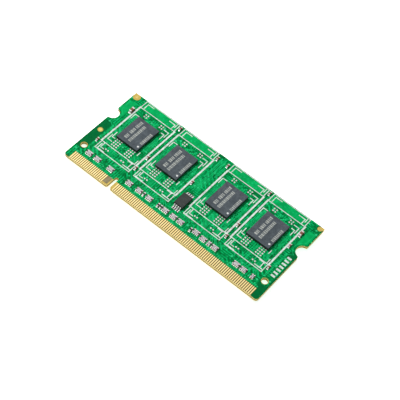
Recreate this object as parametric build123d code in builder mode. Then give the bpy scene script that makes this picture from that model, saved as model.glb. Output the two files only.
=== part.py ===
"""200-contact small-outline memory module, as separate pieces, in millimetres.

X runs along the board, Y from the contact edge to the top edge and +Z out of the front face.
The origin is under the board's centre, level with the outer faces of the back packages.
"""
import os
from collections import namedtuple

from build123d import *

os.makedirs("parts", exist_ok=True)

# ---------------------------------------------------------------- driving dimensions
# Board
board_length = 67.6
board_height = 30.0
core_thickness = 0.43
prepreg_thickness = 0.25
plane_thickness = 0.035
pad_thickness = 0.035
mask_thickness = 0.03
ink_thickness = 0.015
plane_setback = 0.5
corner_radius = 0.9

# Holes, end notches for the socket's latches, and keying notch
hole_radius = 0.9
hole_inset = 2.0
hole_rise = 6.0
latch_radius = 2.0
latch_rise = 20.0
latch_shoulder = 0.5
key_width = 1.0
key_rise = 4.0
key_mouth = 0.65

# Edge contacts
contact_pitch = 0.6
contact_width = 0.45
contact_length = 2.65
contact_setback = 0.15
short_bank_count = 20
long_bank_count = 80
bank_gap = 4.2
key_lead = 1.5
pattern_shift = -0.15

# Memory packages and the larger footprint under each
package_width = 7.5
package_length = 9.5
package_rise = 18.6
site_pitch = 14.2
middle_pitch = 17.8
ball_pitch = 0.8
ball_radius = 0.225
ball_height = 0.3
ball_rows = 11
extra_rows = 4
carrier_thickness = 0.2
mould_thickness = 0.6
mould_chamfer = 0.04
die_width = 6.3
die_length = 8.5
die_thickness = 0.25
attach_thickness = 0.03
slot_width = 0.9
slot_length = 7.8
fill_margin = 0.3
fill_drop = 0.12
wire_count = 5
wire_pitch = 1.4
wire_thickness = 0.03
wire_inset = 0.135
wire_sag = 0.078
wire_slant = 0.12
land_radius = 0.23
dot_radius = 0.3
dot_depth = 0.03
dot_side_inset = 0.7
dot_end_inset = 1.3
mark_depth = 0.012
mark_gap = 0.2
staggered_rows = 6
BALL_COLUMNS = (-4, -3, -2, 2, 3, 4)
SUPPORT_COLUMNS = (-4, -3, 3, 4)
support_gap = 3
support_rise = 6.5

# Presence-detect chip, with four gull-wing leads at each end
spd_width = 3.0
spd_length = 4.4
spd_thickness = 0.9
spd_standoff = 0.1
spd_draft = 6
spd_shift = 0.5
spd_rise = 10.25
lead_span = 6.4
lead_pitch = 0.65
lead_width = 0.3
lead_thickness = 0.13
lead_foot = 0.55
lead_shoulder = 0.22
lead_embed = 0.8
leads_per_end = 4
paddle_width = 1.6
paddle_length = 1.7
spd_die_width = 1.1
spd_die_length = 1.3
spd_die_thickness = 0.2
spd_dot_radius = 0.25
spd_dot_inset = 0.65
spd_wire_inset = 0.15
spd_wire_landing = 0.2
spd_wire_slope = 0.1

# Chip resistors, resistor arrays and capacitors: all have terminals towards +Y and -Y
chip_length = 1.0
chip_width = 0.5
resistor_height = 0.36
capacitor_height = 0.52
bulk_length = 1.6
bulk_width = 0.8
bulk_height = 0.75
bulk_band = 0.35
terminal_band = 0.22
plating = 0.02
array_pitch = 0.5
array_terminal_width = 0.3
pair_pitch = 0.65
pair_width = 1.0
array_rise = 4.85
solder_reach = 0.3
solder_climb = 0.22

# Clearances and fiducials
mask_gap = 0.05
hole_mask_gap = 0.12
ink_gap = 0.12
fiducial_radius = 0.5
capacitor_offset = 7.1
same_place = 1e-4

# ---------------------------------------------------------------- layout lists
# Along the contact row, measured from the middle of the contact pattern
FRONT_ARRAYS = [
    -28.6, -25.6, -20.8, -14.0, -10.45, -6.8, -1.15, 1.7, 4.15, 12.05, 15.95, 23.3, 25.7,
]
FRONT_RAISED_ARRAYS = [9.35]
FRONT_PAIRS = [14.05, 28.75]
FRONT_SINGLES = [-8.75, -3.65, -2.7, 7.7]
BACK_ARRAYS = [-27.1, -22.0, -12.9, -6.9, 1.9, 12.1, 18.1, 25.1]
BACK_PAIRS = [-3.3]
BACK_SINGLES = [-1.1, 8.1]
array_lift = 0.35

# Capacitors beside a package: (site, -1 left or +1 right, distance)
FRONT_LOW_CAPACITORS = [
    (0, -1, 9.9), (1, -1, 9.9), (1, -1, 14.8), (1, 1, 16.9), (3, -1, 9.9), (3, -1, 14.8),
    (3, 1, 9.95), (3, 1, 19.1),
]
FRONT_HIGH_CAPACITORS = [
    (1, -1, 1.25), (1, 1, 2.0), (2, -1, 2.0), (3, -1, 1.2),
]
FRONT_BULK_CAPACITORS = [(0, -1, 5.85), (3, 1, 5.85)]
BACK_LOW_CAPACITORS = [
    (0, -1, 9.9), (1, -1, 9.9), (1, -1, 14.8), (1, 1, 9.9), (2, -1, 14.8), (2, 1, 9.9),
    (2, 1, 14.8), (3, 1, 9.9),
]
BACK_HIGH_CAPACITORS = [
    (0, -1, 5.15), (1, -1, 1.25), (1, 1, 2.0), (2, -1, 2.0), (2, 1, 1.25), (3, 1, 5.15),
]

# Fiducials: (distance from the left end, distance from the contact edge or the top edge)
LOW_FIDUCIALS = [(1.6, 13.05)]
LEFT_CORNER_FIDUCIAL = (1.2, 1.1)
RIGHT_CORNER_FIDUCIAL = (1.0, 0.85)
left_corner_window = 1.15
right_corner_window = 0.75
low_fiducial_window = 0.8

# Printed legend of one site: (x0, rise0, x1, rise1, width), x from the site's centre
fine_line = 0.25
middle_line = 0.3
bold_line = 0.5
SITE_LINES = [
    (-5.95, 7.62, 6.4, 7.62, fine_line), (-5.35, 7.72, -3.2, 7.72, bold_line),
    (-6.0, 7.62, -6.0, 10.55, fine_line), (6.35, 7.62, 6.35, 10.55, fine_line),
    (-6.0, 10.55, 6.55, 10.55, fine_line), (-6.2, 10.6, -6.2, 26.8, bold_line),
    (6.5, 10.6, 6.5, 26.8, bold_line), (-6.15, 26.85, 6.55, 26.85, fine_line),
    (-5.15, 27.2, -5.15, 29.1, fine_line), (-5.15, 29.1, -3.1, 29.1, fine_line),
    (3.05, 28.8, 5.05, 28.8, fine_line), (5.05, 27.2, 5.05, 28.8, fine_line),
    (5.5, 28.1, 5.5, 29.5, fine_line),
    (-5.55, 23.95, -4.1, 23.95, fine_line), (-5.55, 22.0, -5.55, 23.95, fine_line),
    (4.1, 23.95, 5.1, 23.95, fine_line), (5.1, 22.0, 5.1, 23.95, fine_line),
    (3.95, 25.3, 5.6, 25.3, fine_line), (5.6, 23.3, 5.6, 25.3, fine_line),
    (-4.9, 13.5, -4.9, 15.5, fine_line), (-4.9, 13.5, -4.0, 13.5, fine_line),
    (-5.35, 12.15, -5.35, 14.1, fine_line), (-5.35, 12.15, -3.9, 12.15, fine_line),
    (-4.85, 8.65, -4.85, 10.4, fine_line), (-4.85, 8.65, -3.75, 8.65, fine_line),
    (-5.3, 8.1, -5.3, 9.8, fine_line), (5.25, 8.3, 5.25, 10.2, fine_line),
    (3.65, 8.3, 5.95, 8.3, middle_line), (3.85, 10.3, 5.45, 10.3, middle_line),
    (5.85, 10.8, 5.85, 12.1, fine_line), (4.4, 13.4, 4.4, 14.6, fine_line),
]

# Bars that mark a memory package: (x from its centre, bar length, first y, bar widths)
MARK_ROWS = [
    (-1.65, 1.0, -3.45, (0.5, 0.3, 0.25)), (-1.65, 1.0, -1.25, (0.3, 0.5, 0.25, 0.3)),
    (-1.65, 1.0, 1.25, (0.25, 0.5, 0.3, 0.25, 0.4)),
    (-0.05, 0.95, -3.65, (0.4, 0.25, 0.4, 0.2, 0.4, 0.4, 0.25, 0.4, 0.3, 0.4, 0.25, 0.4, 0.3)),
    (3.05, 0.9, -2.25, (0.3, 0.25, 0.4, 0.4, 0.25, 0.3, 0.4, 0.25, 0.4)),
]
box_left = 6.1
box_right = 6.25
box_drop = 0.25
box_rise = 26.9
code_inset = 1.4
CODE_BARS = [8.7, 9.9, 11.1, 12.3, 13.5, 14.7, 15.9]
code_bar_length = 1.3
code_bar_width = 0.6

# ---------------------------------------------------------------- derived places
half_length = board_length / 2
contact_edge = -board_height / 2
top_edge = board_height / 2
hole_y = contact_edge + hole_rise
latch_y = contact_edge + latch_rise
package_y = contact_edge + package_rise

pattern_width = (short_bank_count + long_bank_count - 2) * contact_pitch + bank_gap
first_contact = pattern_shift - pattern_width / 2
last_contact = first_contact + pattern_width
long_bank_start = first_contact + (short_bank_count - 1) * contact_pitch + bank_gap
key_x = long_bank_start - key_lead

site_x = [
    pattern_shift - middle_pitch / 2 - site_pitch,
    pattern_shift - middle_pitch / 2,
    pattern_shift + middle_pitch / 2,
    pattern_shift + middle_pitch / 2 + site_pitch,
]

package_height = ball_height + carrier_thickness + mould_thickness
back_face_z = package_height + pad_thickness
core_z = back_face_z + prepreg_thickness
front_prepreg_z = core_z + core_thickness
front_face_z = front_prepreg_z + prepreg_thickness

# A side is its laminate face and the sign that turns board X into the side's own x
Side = namedtuple("Side", "name plane flip")
front = Side("front", Plane((0, 0, front_face_z)), 1)
back = Side("back", Plane((0, 0, back_face_z), x_dir=(-1, 0, 0), z_dir=(0, 0, -1)), -1)


def finish(builder, name):
    """Label one finished piece and write it."""
    builder.part.label = name
    export_step(builder.part, f"parts/{name}.step")


def on_side(side, x, y, turn=0):
    """Location on the pads of a side, at a board place, turned about the side's normal."""
    seat = side.plane.offset(pad_thickness).location
    return seat * Location((side.flip * x, y, 0), (0, 0, turn))


# ---------------------------------------------------------------- board layers
def board_outline(flip=1):
    """Draw the board with its rounded corners, end notches, holes and keying notch."""
    Rectangle(board_length, board_height)
    fillet(vertices().group_by(Axis.Y)[0], corner_radius)
    with Locations((-half_length, latch_y), (half_length, latch_y)):
        Circle(latch_radius, mode=Mode.SUBTRACT)
    shoulders = [
        corner for corner in vertices()
        if abs(abs(corner.X) - half_length) < same_place
        and abs(abs(corner.Y - latch_y) - latch_radius) < same_place
    ]
    fillet(shoulders, latch_shoulder)
    with Locations((hole_inset - half_length, hole_y), (half_length - hole_inset, hole_y)):
        Circle(hole_radius, mode=Mode.SUBTRACT)
    key_slot(flip * key_x, key_width, key_rise)
    mouth = [
        corner for corner in vertices()
        if abs(corner.Y - contact_edge) < same_place
        and abs(abs(corner.X - flip * key_x) - key_width / 2) < same_place
    ]
    fillet(mouth, key_mouth)


def key_slot(x, width, rise):
    """Cut a round-ended slot up from the contact edge."""
    straight = rise - width / 2
    with Locations((x, contact_edge + straight / 2)):
        Rectangle(width, straight, mode=Mode.SUBTRACT)
    with Locations((x, contact_edge + straight)):
        Circle(width / 2, mode=Mode.SUBTRACT)


def plane_outline():
    """Draw an inner copper plane, set back from every edge of the board."""
    Rectangle(board_length - 2 * plane_setback, board_height - 2 * plane_setback)
    with Locations((-half_length, latch_y), (half_length, latch_y)):
        Circle(latch_radius + plane_setback, mode=Mode.SUBTRACT)
    with Locations((hole_inset - half_length, hole_y), (half_length - hole_inset, hole_y)):
        Circle(hole_radius + plane_setback, mode=Mode.SUBTRACT)
    key_slot(key_x, key_width + 2 * plane_setback, key_rise + plane_setback)


with BuildPart() as ground_plane:
    with BuildSketch(Plane.XY.offset(front_prepreg_z - plane_thickness)):
        plane_outline()
    extrude(amount=plane_thickness)
finish(ground_plane, "ground_plane")

with BuildPart() as power_plane:
    with BuildSketch(Plane.XY.offset(core_z)):
        plane_outline()
    extrude(amount=plane_thickness)
finish(power_plane, "power_plane")

with BuildPart() as core_laminate:
    with BuildSketch(Plane.XY.offset(core_z)):
        board_outline()
    extrude(amount=core_thickness)
    add(ground_plane.part, mode=Mode.SUBTRACT)
    add(power_plane.part, mode=Mode.SUBTRACT)
finish(core_laminate, "core_laminate")

with BuildPart() as front_laminate:
    with BuildSketch(Plane.XY.offset(front_prepreg_z)):
        board_outline()
    extrude(amount=prepreg_thickness)
finish(front_laminate, "front_laminate")

with BuildPart() as back_laminate:
    with BuildSketch(Plane.XY.offset(back_face_z)):
        board_outline()
    extrude(amount=prepreg_thickness)
finish(back_laminate, "back_laminate")


# ---------------------------------------------------------------- edge contacts
def contact_bank(side, start, count):
    """Build one bank of gold contacts on a side, as separate solids."""
    bank_length = (count - 1) * contact_pitch
    centre_x = side.flip * (start + bank_length / 2)
    centre_y = contact_edge + contact_setback + contact_length / 2
    with BuildPart() as bank:
        with BuildSketch(side.plane):
            with Locations((centre_x, centre_y)):
                with GridLocations(contact_pitch, 0, count, 1):
                    Rectangle(contact_width, contact_length)
        extrude(amount=pad_thickness)
    return bank


for side in (front, back):
    finish(contact_bank(side, first_contact, short_bank_count), f"{side.name}_contacts_short")
    finish(contact_bank(side, long_bank_start, long_bank_count), f"{side.name}_contacts_long")


# ---------------------------------------------------------------- footprints
def ball_points():
    """Ball places of one package from its centre: the lower rows lose one outer ball in turn."""
    full_rows = ball_rows - staggered_rows
    points = []
    for row in range(ball_rows):
        missing = None
        if row >= full_rows:
            missing = BALL_COLUMNS[-1] if (row - full_rows) % 2 == 0 else BALL_COLUMNS[0]
        y = (row - (ball_rows - 1) / 2) * ball_pitch
        points += [(column * ball_pitch, y) for column in BALL_COLUMNS if column != missing]
    return points


def spare_land_points():
    """Unused lands of the larger footprint, from the package's centre."""
    lowest = -(ball_rows - 1) / 2 * ball_pitch
    extra = [
        (column * ball_pitch, lowest - row * ball_pitch)
        for row in range(1, extra_rows + 1) for column in BALL_COLUMNS
    ]
    low_support = lowest - (extra_rows + support_gap) * ball_pitch
    support_rows = (low_support, support_rise, support_rise + ball_pitch)
    support = [(column * ball_pitch, y) for y in support_rows for column in SUPPORT_COLUMNS]
    return extra + support


def spare_lands(side):
    """Every unused round land of a side, in the side's own x and y."""
    return [(side.flip * x + dx, package_y + dy) for x in site_x for dx, dy in spare_land_points()]


def ball_fields(side):
    """Centres of the two ball fields of every package, in the side's own x and y."""
    return [(side.flip * x + dx, package_y) for x in site_x for dx in (-3 * ball_pitch, 3 * ball_pitch)]


Chip = namedtuple("Chip", "length width height offsets terminal_width band")
array_chip = Chip(
    chip_length, 4 * array_pitch, resistor_height,
    [(index - 1.5) * array_pitch for index in range(4)], array_terminal_width, terminal_band,
)
pair_chip = Chip(
    chip_length, pair_width, resistor_height,
    [-pair_pitch / 2, pair_pitch / 2], array_terminal_width, terminal_band,
)
single_chip = Chip(chip_length, chip_width, resistor_height, [0], chip_width, terminal_band)
capacitor_chip = Chip(chip_length, chip_width, capacitor_height, [0], chip_width, terminal_band)
bulk_chip = Chip(bulk_length, bulk_width, bulk_height, [0], bulk_width, bulk_band)


def in_row(distances, lift=0.0):
    """Board places along the contact row."""
    return [(pattern_shift + distance, contact_edge + array_rise + lift) for distance in distances]


def beside_sites(low, high):
    """Board places of capacitors beside the packages."""
    places = [(site_x[n] + s * capacitor_offset, contact_edge + rise) for n, s, rise in low]
    places += [(site_x[n] + s * capacitor_offset, top_edge - drop) for n, s, drop in high]
    return places


LAYOUT = {
    front: [
        (array_chip, in_row(FRONT_ARRAYS) + in_row(FRONT_RAISED_ARRAYS, array_lift)),
        (pair_chip, in_row(FRONT_PAIRS)),
        (single_chip, in_row(FRONT_SINGLES)),
        (capacitor_chip, beside_sites(FRONT_LOW_CAPACITORS, FRONT_HIGH_CAPACITORS)),
        (bulk_chip, beside_sites([], FRONT_BULK_CAPACITORS)),
    ],
    back: [
        (array_chip, in_row(BACK_ARRAYS)),
        (pair_chip, in_row(BACK_PAIRS)),
        (single_chip, in_row(BACK_SINGLES)),
        (capacitor_chip, beside_sites(BACK_LOW_CAPACITORS, BACK_HIGH_CAPACITORS)),
    ],
}

spd_x = pattern_shift + spd_shift
spd_y = contact_edge + spd_rise
lead_offsets = [(index - (leads_per_end - 1) / 2) * lead_pitch for index in range(leads_per_end)]
foot_length = lead_foot + solder_reach
foot_centre = (lead_span - lead_foot + solder_reach) / 2


def land_rows(side):
    """Rows of rectangular lands: row centres, land offsets, land width and length."""
    rows = []
    for chip, places in LAYOUT[side]:
        length = chip.band + plating + solder_reach
        shift = (chip.length - chip.band + plating + solder_reach) / 2
        centres = [(side.flip * x, y + end * shift) for x, y in places for end in (-1, 1)]
        rows.append((centres, chip.offsets, chip.terminal_width, length))
    if side is front:
        centres = [(spd_x, spd_y + end * foot_centre) for end in (-1, 1)]
        rows.append((centres, lead_offsets, lead_width, foot_length))
    return rows


def draw_lands(side):
    """Draw every land of a side that isn't under a ball."""
    with Locations(*spare_lands(side)):
        Circle(land_radius)
    for centres, offsets, width, length in land_rows(side):
        with Locations(*[(x + dx, y) for x, y in centres for dx in offsets]):
            Rectangle(width, length)


def draw_land_windows(side, margin):
    """Draw the openings over the lands: one for each spare land, row of lands and ball field."""
    with Locations(*spare_lands(side)):
        Circle(land_radius + margin)
    for centres, offsets, width, length in land_rows(side):
        row_width = offsets[-1] - offsets[0] + width
        with Locations(*centres):
            Rectangle(row_width + 2 * margin, length + 2 * margin)
    field_margin = 2 * (ball_radius + margin)
    with Locations(*ball_fields(side)):
        Rectangle(2 * ball_pitch + field_margin, (ball_rows - 1) * ball_pitch + field_margin)


for side in (front, back):
    with BuildPart() as pads:
        with BuildSketch(side.plane):
            draw_lands(side)
        extrude(amount=pad_thickness)
    finish(pads, f"{side.name}_pads")


# ---------------------------------------------------------------- fiducials, mask and legend
def corner_points():
    """Fiducial centres in the two top corners."""
    left = (LEFT_CORNER_FIDUCIAL[0] - half_length, top_edge - LEFT_CORNER_FIDUCIAL[1])
    right = (half_length - RIGHT_CORNER_FIDUCIAL[0], top_edge - RIGHT_CORNER_FIDUCIAL[1])
    return left, right


def low_points():
    """Fiducial centres beside the first package."""
    return [(inset - half_length, contact_edge + rise) for inset, rise in LOW_FIDUCIALS]


def corner_window(point, radius):
    """Draw a mask opening round a fiducial that runs out to its corner of the board."""
    x, y = point
    outer_x = half_length if x > 0 else -half_length
    with Locations(point):
        Circle(radius)
    with Locations(((x + outer_x) / 2, (y + top_edge) / 2)):
        Rectangle(abs(outer_x - x), top_edge - y)


def contact_window(side):
    """Draw the mask opening over the contacts and the keying notch."""
    margin = contact_width / 2 + 2 * mask_gap
    width = pattern_width + 2 * margin
    length = contact_setback + contact_length + mask_gap
    with Locations((side.flip * (first_contact + last_contact) / 2, contact_edge + length / 2)):
        Rectangle(width, length)


def draw_openings(side, margin):
    """Draw everything that the mask leaves bare on a side."""
    draw_land_windows(side, margin)
    contact_window(side)
    left, right = corner_points()
    corner_window(left, left_corner_window)
    corner_window(right, right_corner_window)
    with Locations(*low_points()):
        Circle(low_fiducial_window)
    with Locations((hole_inset - half_length, hole_y), (half_length - hole_inset, hole_y)):
        Circle(hole_radius + hole_mask_gap)


def ink_line(x0, y0, x1, y1, width):
    """Draw one straight legend line with square ends."""
    with Locations(((x0 + x1) / 2, (y0 + y1) / 2)):
        Rectangle(abs(x1 - x0) + width, abs(y1 - y0) + width)


with BuildSketch() as site_legend:
    for x0, rise0, x1, rise1, line in SITE_LINES:
        ink_line(x0, contact_edge + rise0, x1, contact_edge + rise1, line)
    box_low = contact_edge + box_rise
    box_high = top_edge - box_drop
    ink_line(-box_left, box_low, -box_left, box_high, fine_line)
    ink_line(box_right, box_low, box_right, box_high, fine_line)
    ink_line(-box_left, box_high, box_right, box_high, fine_line)

for side in (front, back):
    with BuildPart() as fiducials:
        with BuildSketch(side.plane):
            with Locations(*corner_points(), *low_points()):
                Circle(fiducial_radius)
        extrude(amount=pad_thickness)
    finish(fiducials, f"{side.name}_fiducials")

    with BuildSketch() as openings:
        draw_openings(side, mask_gap)
    with BuildPart() as mask:
        with BuildSketch(side.plane):
            board_outline(side.flip)
            add(openings.sketch, mode=Mode.SUBTRACT)
        extrude(amount=mask_thickness)
    finish(mask, f"{side.name}_solder_mask")

    with BuildSketch() as keep_clear:
        draw_openings(side, ink_gap)
    with BuildPart() as legend:
        with BuildSketch(side.plane.offset(mask_thickness)):
            with Locations(*[(side.flip * x, 0) for x in site_x]):
                add(site_legend.sketch)
            code_x = side.flip * (half_length - code_inset)
            with Locations(*[(code_x, contact_edge + rise) for rise in CODE_BARS]):
                Rectangle(code_bar_length, code_bar_width)
            add(keep_clear.sketch, mode=Mode.SUBTRACT)
        extrude(amount=ink_thickness)
    finish(legend, f"{side.name}_legend")

# ---------------------------------------------------------------- memory packages
# Each piece is built once on the seating plane, then placed at every site.
carrier_top = ball_height + carrier_thickness
die_seat = carrier_top + attach_thickness
dot_point = (package_width / 2 - dot_side_inset, dot_end_inset - package_length / 2)


def draw_marks():
    """Draw the bars of one package's marking."""
    for x, length, start, widths in MARK_ROWS:
        for width in widths:
            with Locations((x, start + width / 2)):
                Rectangle(length, width)
            start += width + mark_gap


with BuildPart() as carrier_unit:
    with BuildSketch(Plane.XY.offset(ball_height)):
        Rectangle(package_width, package_length)
        SlotOverall(slot_length, slot_width, rotation=90, mode=Mode.SUBTRACT)
    extrude(amount=carrier_thickness)

with BuildPart() as attach_unit:
    with BuildSketch(Plane.XY.offset(carrier_top)):
        Rectangle(die_width, die_length)
        SlotOverall(slot_length, slot_width, rotation=90, mode=Mode.SUBTRACT)
    extrude(amount=attach_thickness)

with BuildPart() as die_unit:
    with BuildSketch(Plane.XY.offset(die_seat)):
        Rectangle(die_width, die_length)
    extrude(amount=die_thickness)

with BuildPart() as mould_unit:
    with BuildSketch(Plane.XY.offset(carrier_top)):
        Rectangle(package_width, package_length)
    extrude(amount=mould_thickness)
    chamfer(faces().sort_by(Axis.Z)[-1].edges(), mould_chamfer)
    with BuildSketch(Plane.XY.offset(carrier_top)):
        Rectangle(die_width, die_length)
    extrude(amount=attach_thickness + die_thickness, mode=Mode.SUBTRACT)
    with BuildSketch(Plane.XY.offset(package_height)):
        with Locations(dot_point):
            Circle(dot_radius)
    extrude(amount=-dot_depth, mode=Mode.SUBTRACT)
    with BuildSketch(Plane.XY.offset(package_height)):
        draw_marks()
    extrude(amount=-mark_depth, mode=Mode.SUBTRACT)

# The marking fills its shallow recesses flush with the top, and lines the floor of the dot
with BuildPart() as mark_unit:
    with BuildSketch(Plane.XY.offset(package_height - mark_depth)):
        draw_marks()
    extrude(amount=mark_depth)
    with BuildSketch(Plane.XY.offset(package_height - dot_depth)):
        with Locations(dot_point):
            Circle(dot_radius)
    extrude(amount=mark_depth)

# A wire drops from the die's centre pads through the slot and turns up to the carrier's underside
wire_out = slot_width / 2 + fill_margin / 2
wire_low = ball_height - wire_sag
with BuildPart() as wire_unit:
    with BuildSketch(Plane.XZ.offset(-wire_thickness / 2)):
        with BuildLine():
            Polyline(
                (wire_inset, die_seat), (wire_inset + wire_thickness, die_seat),
                (wire_inset + wire_thickness + wire_slant, wire_low + wire_thickness),
                (wire_out - wire_thickness, wire_low + wire_thickness),
                (wire_out, ball_height), (wire_out + wire_thickness, ball_height),
                (wire_out, wire_low), (wire_inset + wire_slant, wire_low), close=True,
            )
        make_face()
    extrude(amount=wire_thickness)

with BuildPart() as wire_set_unit:
    with GridLocations(0, wire_pitch, 1, wire_count):
        with Locations(Location((0, 0, 0)), Location((0, 0, 0), (0, 0, 180))):
            add(wire_unit.part)

with BuildPart() as fill_unit:
    with BuildSketch(Plane.XY.offset(ball_height)):
        SlotOverall(slot_length, slot_width, rotation=90)
    extrude(amount=die_seat - ball_height)
    with BuildSketch(Plane.XY.offset(ball_height)):
        SlotOverall(slot_length + 2 * fill_margin, slot_width + 2 * fill_margin, rotation=90)
    extrude(amount=-fill_drop)
    add(wire_set_unit.part, mode=Mode.SUBTRACT)

# A ball and the land that it wets are one solid, down to the laminate
with BuildPart() as ball_unit:
    with Locations((0, 0, ball_height / 2)):
        Sphere(ball_radius)
    with Locations((0, 0, -pad_thickness)):
        Box(2 * ball_radius, 2 * ball_radius, ball_height + pad_thickness,
            align=(Align.CENTER, Align.CENTER, Align.MIN), mode=Mode.INTERSECT)

all_seats = []
for side in (front, back):
    seats = [on_side(side, x, package_y) for x in site_x]
    all_seats += seats
    for number, seat in enumerate(seats, 1):
        pieces = (("carrier", carrier_unit), ("die", die_unit), ("mould", mould_unit))
        for piece_name, unit in pieces:
            with BuildPart() as piece:
                with Locations(seat):
                    add(unit.part)
            finish(piece, f"{side.name}_chip_{number}_{piece_name}")

    with BuildPart() as balls:
        with Locations(*[seat * Location((x, y, 0)) for seat in seats for x, y in ball_points()]):
            add(ball_unit.part)
    finish(balls, f"{side.name}_balls")

grouped = (
    ("die_attach", attach_unit), ("bond_wires", wire_set_unit), ("slot_fill", fill_unit),
    ("chip_marks", mark_unit),
)
for name, unit in grouped:
    with BuildPart() as group:
        with Locations(*all_seats):
            add(unit.part)
    finish(group, name)

# ---------------------------------------------------------------- presence-detect chip
spd_seat = on_side(front, spd_x, spd_y)
lead_z = spd_standoff + spd_thickness / 2
lead_top = lead_z + lead_thickness / 2
lead_bottom = lead_z - lead_thickness / 2
lead_inner = spd_length / 2 - lead_embed
lead_bend = spd_length / 2 + lead_shoulder
foot_start = lead_span / 2 - lead_foot
spd_die_top = lead_top + spd_die_thickness

with BuildPart() as lead_unit:
    with BuildSketch(Plane.YZ.offset(-lead_width / 2)):
        with BuildLine():
            Polyline(
                (lead_inner, lead_bottom), (lead_bend - lead_thickness / 2, lead_bottom),
                (foot_start - lead_thickness / 2, 0), (lead_span / 2, 0),
                (lead_span / 2, lead_thickness), (foot_start + lead_thickness / 2, lead_thickness),
                (lead_bend + lead_thickness / 2, lead_top), (lead_inner, lead_top), close=True,
            )
        make_face()
    extrude(amount=lead_width)

lead_turns = [Location((x, 0, 0), (0, 0, turn)) for x in lead_offsets for turn in (0, 180)]
with BuildPart() as spd_leads:
    with Locations(*[spd_seat * turn for turn in lead_turns]):
        add(lead_unit.part)
    with Locations(spd_seat * Location((0, 0, lead_z))):
        Box(paddle_width, paddle_length, lead_thickness)
finish(spd_leads, "spd_leads")

with BuildPart() as spd_die:
    with Locations(spd_seat * Location((0, 0, lead_top))):
        Box(spd_die_width, spd_die_length, spd_die_thickness,
            align=(Align.CENTER, Align.CENTER, Align.MIN))
finish(spd_die, "spd_die")

# Each wire rises from the die, then falls to the top of a lead's inner end
wire_start = spd_die_length / 2 - spd_wire_inset
wire_peak = spd_die_top + 3 * wire_thickness
wire_end = lead_inner + spd_wire_landing
wire_turn = wire_end - spd_wire_slope
with BuildPart() as spd_wire_unit:
    with BuildSketch(Plane.YZ.offset(-wire_thickness / 2)):
        with BuildLine():
            Polyline(
                (wire_start, spd_die_top), (wire_start, wire_peak),
                (wire_turn, wire_peak), (wire_end, lead_top),
                (wire_end - wire_thickness, lead_top),
                (wire_turn - wire_thickness, wire_peak - wire_thickness),
                (wire_start + wire_thickness, wire_peak - wire_thickness),
                (wire_start + wire_thickness, spd_die_top), close=True,
            )
        make_face()
    extrude(amount=wire_thickness)

wire_offsets = [x * spd_die_width / (leads_per_end * lead_pitch) for x in lead_offsets]
with BuildPart() as spd_wires:
    for x in wire_offsets:
        with Locations(*[spd_seat * Location((x, 0, 0), (0, 0, turn)) for turn in (0, 180)]):
            add(spd_wire_unit.part)
finish(spd_wires, "spd_wires")

with BuildPart() as spd_shell_unit:
    with BuildSketch(Plane.XY.offset(lead_z)):
        Rectangle(spd_width, spd_length)
    extrude(amount=spd_thickness / 2, taper=spd_draft)
    with BuildSketch(Plane.XY.offset(lead_z)):
        Rectangle(spd_width, spd_length)
    extrude(amount=-spd_thickness / 2, taper=spd_draft)
    with BuildSketch(Plane.XY.offset(spd_standoff + spd_thickness)):
        with Locations((spd_dot_inset - spd_width / 2, spd_dot_inset - spd_length / 2)):
            Circle(spd_dot_radius)
    extrude(amount=-dot_depth, mode=Mode.SUBTRACT)

with BuildPart() as spd_body:
    with Locations(spd_seat):
        add(spd_shell_unit.part)
    add(spd_leads.part, mode=Mode.SUBTRACT)
    add(spd_die.part, mode=Mode.SUBTRACT)
    add(spd_wires.part, mode=Mode.SUBTRACT)
finish(spd_body, "spd_body")


# ---------------------------------------------------------------- chip resistors and capacitors
def placed(wanted, inner=False):
    """Seats of every chip of the wanted kinds on both sides; inner gives its terminals' seats."""
    seats = []
    for side in (front, back):
        for chip, places in LAYOUT[side]:
            if chip not in wanted:
                continue
            for x, y in places:
                seat = on_side(side, x, y)
                if inner:
                    seats += [
                        seat * Location((dx, 0, 0), (0, 0, turn))
                        for dx in chip.offsets for turn in (0, 180)
                    ]
                else:
                    seats.append(seat)
    return seats


def build_bodies(*kinds):
    """Ceramic blocks of the given chips, each between the two plating layers."""
    with BuildPart() as bodies:
        for chip in kinds:
            with Locations(*[seat * Location((0, 0, plating)) for seat in placed([chip])]):
                Box(chip.width, chip.length, chip.height - 2 * plating,
                    align=(Align.CENTER, Align.CENTER, Align.MIN))
    return bodies


def build_glaze(*kinds):
    """Dark glaze on top of the given chips, between their terminals."""
    with BuildPart() as glaze:
        for chip in kinds:
            lift = Location((0, 0, chip.height - plating))
            with Locations(*[seat * lift for seat in placed([chip])]):
                Box(chip.width, chip.length - 2 * chip.band, plating,
                    align=(Align.CENTER, Align.CENTER, Align.MIN))
    return glaze


def terminal_unit(chip):
    """One plated terminal, wrapped over the end of a chip."""
    with BuildPart() as unit:
        with Locations((0, chip.length / 2 - chip.band, 0)):
            Box(chip.terminal_width, chip.band + plating, chip.height,
                align=(Align.CENTER, Align.MIN, Align.MIN))
        with Locations((0, 0, plating)):
            Box(chip.terminal_width, chip.length, chip.height - 2 * plating,
                align=(Align.CENTER, Align.CENTER, Align.MIN), mode=Mode.SUBTRACT)
    return unit


def build_terminals(*kinds):
    """All terminals of the given chips, as separate solids."""
    with BuildPart() as terminals:
        for chip in kinds:
            with Locations(*placed([chip], inner=True)):
                add(terminal_unit(chip).part)
    return terminals


def solder_unit(width, start):
    """One solder fillet that climbs from its land, up the end of a terminal or lead."""
    with BuildPart() as unit:
        with BuildSketch(Plane.YZ.offset(-width / 2)):
            with BuildLine():
                Polyline((start, solder_climb), (start, 0), (start + solder_reach, 0))
                ThreePointArc(
                    (start + solder_reach, 0),
                    (start + solder_reach * 0.38, solder_climb * 0.38),
                    (start, solder_climb),
                )
            make_face()
        extrude(amount=width)
    return unit


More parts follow.
